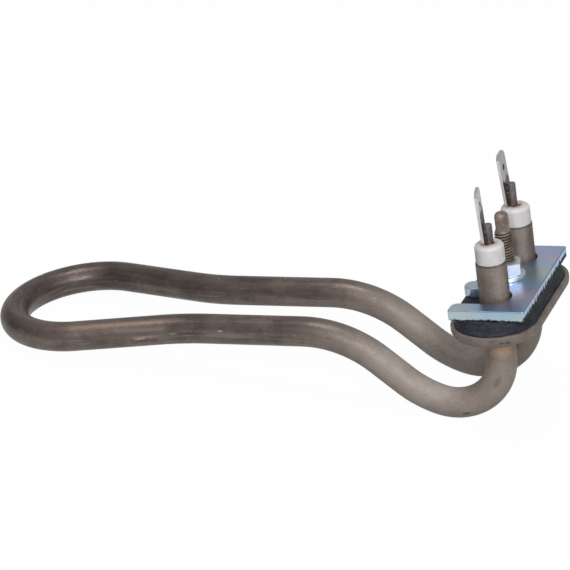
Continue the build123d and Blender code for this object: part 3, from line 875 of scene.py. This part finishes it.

# %% [markdown]
# ## Tabs
# The tinned tabs are burnt brown and black on their lower half, higher on the near one. Their
# sheared edges are painted bright as a painted highlight, the far tab's face is painted grey as a
# painted reflection, and the walls inside their holes are painted dark as painted shade. The way
# that a surface faces tells face from edge, and the distance from the hole's centre finds its wall.

# %% Tab finish
tab_hole_y, tab_hole_z = 13.1 * mm, 30.08 * mm
f = tab_finish = Finish("tab_tin", 0.7, 0.33, 0.5)
_, y, z = f.axes()
smear = f.noise(f.place((1, 1, 0.25)), 900.0, 4.0, 0.6)
fine = f.noise(f.place((1, 4, 0.6)), 1500.0, 3.0)
facing_x, _, facing_z = f.axes(f.add("ShaderNodeNewGeometry").outputs["True Normal"])
on_face = f.within(f.maths("ABSOLUTE", facing_x), 0.5, 0.8)
far_tab = f.within(y, -1 * mm, 1 * mm)
burnt_top = f.within(far_tab, 0.0, 1.0, 28.5 * mm, 26.8 * mm)
char_line = f.maths("ADD", z, f.swing(smear, 5 * mm))
below = f.within(f.maths("SUBTRACT", burnt_top, char_line), -0.4 * mm, 0.4 * mm, 0.0, 0.95)
burnt = f.product(below, f.within(on_face, 0.0, 1.0, 0.15, 1.0))
off_hole = f.maths("SUBTRACT", f.maths("ABSOLUTE", y), tab_hole_y)
hole_reach = f.reach(off_hole, f.maths("SUBTRACT", z, tab_hole_z))
painted_hole_shade = f.product(f.within(hole_reach, 1.4 * mm, 1.2 * mm), f.within(on_face, 0.0, 0.2, 0.85, 0.0))
tip_wall = f.product(f.within(facing_z, 0.3, 0.5), f.within(z, 30.5 * mm, 31 * mm))
# painted reflection: the far tab's face is painted grey, the near tab's face pale
bright = f.between(smear, 0.36, 0.64, (140, 138, 139), (168, 166, 166))
bright = f.blend(far_tab, screen(202, 199, 199), bright)
# painted highlight: all but the faces, that is the sheared edges, are painted bright
bright = f.blend(on_face, screen(206, 205, 204), bright)
# painted shade: the wall inside each hole is painted dark
bright = f.over(bright, painted_hole_shade, (52, 48, 48))
bright = f.over(bright, f.product(tip_wall, 0.35), (96, 96, 98))
f.colour(f.blend(burnt, bright, f.between(smear, 0.4, 0.62, (58, 47, 44), (104, 94, 90))))
f.rough(f.maths("ADD", f.within(fine, 0.3, 0.7, 0.26, 0.42), f.product(burnt, 0.14)))
dress(tab_finish, nodes["tab_terminal_near"], nodes["tab_terminal_far"])

# %% [markdown]
# ## Hidden pieces
# The powder, the winding and the seals never show, but a cut view may need them later, so each
# gets its own plain but true finish too.

# %% Inner finishes
f = powder_finish = Finish("magnesia_powder", 0.0, 0.9, 0.2)
f.colour(f.blend(f.noise(f.place(), 1800.0, 3.0), screen(228, 226, 220), screen(242, 240, 236)))
dress(powder_finish, nodes["magnesia_filling"])
f = coil_finish = Finish("coil_wire", 0.9, 0.4)
f.colour(f.blend(f.noise(f.place(), 1200.0, 3.0), screen(150, 146, 142), screen(178, 174, 168)))
dress(coil_finish, nodes["resistance_coil"])
f = seal_finish = Finish("seal_compound", 0.0, 0.5, 0.4)
f.colour(f.blend(f.noise(f.place(), 900.0, 3.0), screen(196, 190, 178), screen(212, 206, 196)))
dress(seal_finish, nodes["end_seal_near"], nodes["end_seal_far"])

# %% [markdown]
# ## Floor and light
# Laid on a table, the element rests on its two elbows and on the end of the loop, so the table
# is a plane that leans a little in the part's own frame. The camera is level over that table.
# The plane touches two circles seen from the side, the elbow and the loop's end, and their
# common tangent gives its slope.

# %% Floor
elbow_hub = np.array([-elbow_radius, elbow_z])
elbow_reach = elbow_radius + sheath_radius
loop_hub = np.array([line[:, 0].min(), line[len(line) // 2, 2]])
gap = loop_hub - elbow_hub
slope = np.arctan2(gap[1], -gap[0]) + np.arcsin((elbow_reach - sheath_radius) / np.hypot(*gap))
table_up = np.array([np.sin(slope), 0.0, np.cos(slope)])
lengthwise = np.array([np.cos(slope), 0.0, -np.sin(slope)])
touch = np.array([elbow_hub[0], 0.0, elbow_hub[1]]) - table_up * elbow_reach
loop_low = np.array([loop_hub[0], 0, loop_hub[1]]) @ table_up - sheath_radius
print("table slope", round(float(np.degrees(slope)), 2), "degrees, tangent error in mm",
      round(float(loop_low - touch @ table_up) / mm, 3))

bpy.ops.mesh.primitive_plane_add(size=8.0)
floor = bpy.context.object
floor.name = "floor"
floor.matrix_world = aim(touch, lengthwise, np.cross(table_up, lengthwise), table_up)
print("floor at", np.round(touch / mm, 2), "mm")

# %% [markdown]
# The floor glows white to the camera and to mirror and glass rays, so the background is white
# and the metal shows it too. A small share of real white keeps a faint shadow. All other rays
# meet a mid grey, which sends only a little light back up, as the dark undersides ask.

# %% Floor finish
f = floor_finish = Finish("floor_white", 0.0, 0.5)
f.tree.nodes.remove(f.shader)


def mixed(factor, first, second):
    """Mix of two shaders, with as much of the second as the factor says."""
    mix = f.add("ShaderNodeMixShader", Fac=factor)
    f.put(mix.inputs[1], first)
    f.put(mix.inputs[2], second)
    return mix.outputs[0]


seen = f.add("ShaderNodeLightPath").outputs
camera_or_mirror = f.maths("MAXIMUM", seen["Is Camera Ray"], seen["Is Glossy Ray"])
any_view = f.maths("MAXIMUM", camera_or_mirror, seen["Is Transmission Ray"])
floor_grey = f.add("ShaderNodeBsdfDiffuse", Color=(0.3, 0.3, 0.3, 1.0)).outputs[0]
floor_lit = f.add("ShaderNodeBsdfDiffuse", Color=(0.95, 0.95, 0.95, 1.0)).outputs[0]
glow = f.add("ShaderNodeEmission", Strength=1.0).outputs[0]
shown = mixed(0.97, floor_lit, glow)
f.put(f.tree.nodes["Material Output"].inputs["Surface"], mixed(any_view, floor_grey, shown))
dress(floor_finish, floor)

# %% [markdown]
# The room is a dim, nearly white sky, so that no shadow turns black.

# %% Sky
world = bpy.data.worlds.new("studio")
scene.world = world
world.use_nodes = True
room = world.node_tree.nodes["Background"]
room.inputs["Color"].default_value = (0.97, 0.98, 1.0, 1.0)
room.inputs["Strength"].default_value = 0.17
print("sky strength", round(room.inputs["Strength"].default_value, 2))

# %% [markdown]
# Four soft boxes: the key close to the camera, one overhead for the long highlight on the tube,
# a wide one behind that the plate's top mirrors, and a weak one at the right for the nut. A lamp
# of power P at distance d gives a facing white surface the brightness P / (pi d)^2, so the power
# is worked out from the share wanted.

# %% Lamps
middle = np.array([-60, 0, 0]) * mm
to_right, to_up, to_back = (np.array(v) for v in (camera_right, camera_up, camera_back))


def soft_box(name, direction, distance_m, width, share):
    """Square area lamp that faces the part, at distance along right, up and back directions."""
    way = direction[0] * to_right + direction[1] * to_up + direction[2] * to_back
    way = way / np.linalg.norm(way)
    data = bpy.data.lights.new(name, "AREA")
    data.size = width
    data.energy = float(share * (np.pi * distance_m) ** 2)
    lamp = bpy.data.objects.new(name, data)
    across_way = np.cross(to_up, way)
    across_way = across_way / np.linalg.norm(across_way)
    lamp.matrix_world = aim(middle + way * distance_m, across_way, np.cross(way, across_way), way)
    scene.collection.objects.link(lamp)
    print(name, round(data.energy, 2), "W")


soft_box("key", (0.05, 0.18, 1.0), 1.5, 0.8, 0.75)
soft_box("overhead", (-0.13, 0.91, 0.4), 1.0, 0.4, 0.31)
soft_box("back", (-0.1, 0.72, -0.69), 1.3, 1.3, 0.14)
soft_box("right", (0.58, 0.18, 0.8), 1.2, 0.5, 0.11)
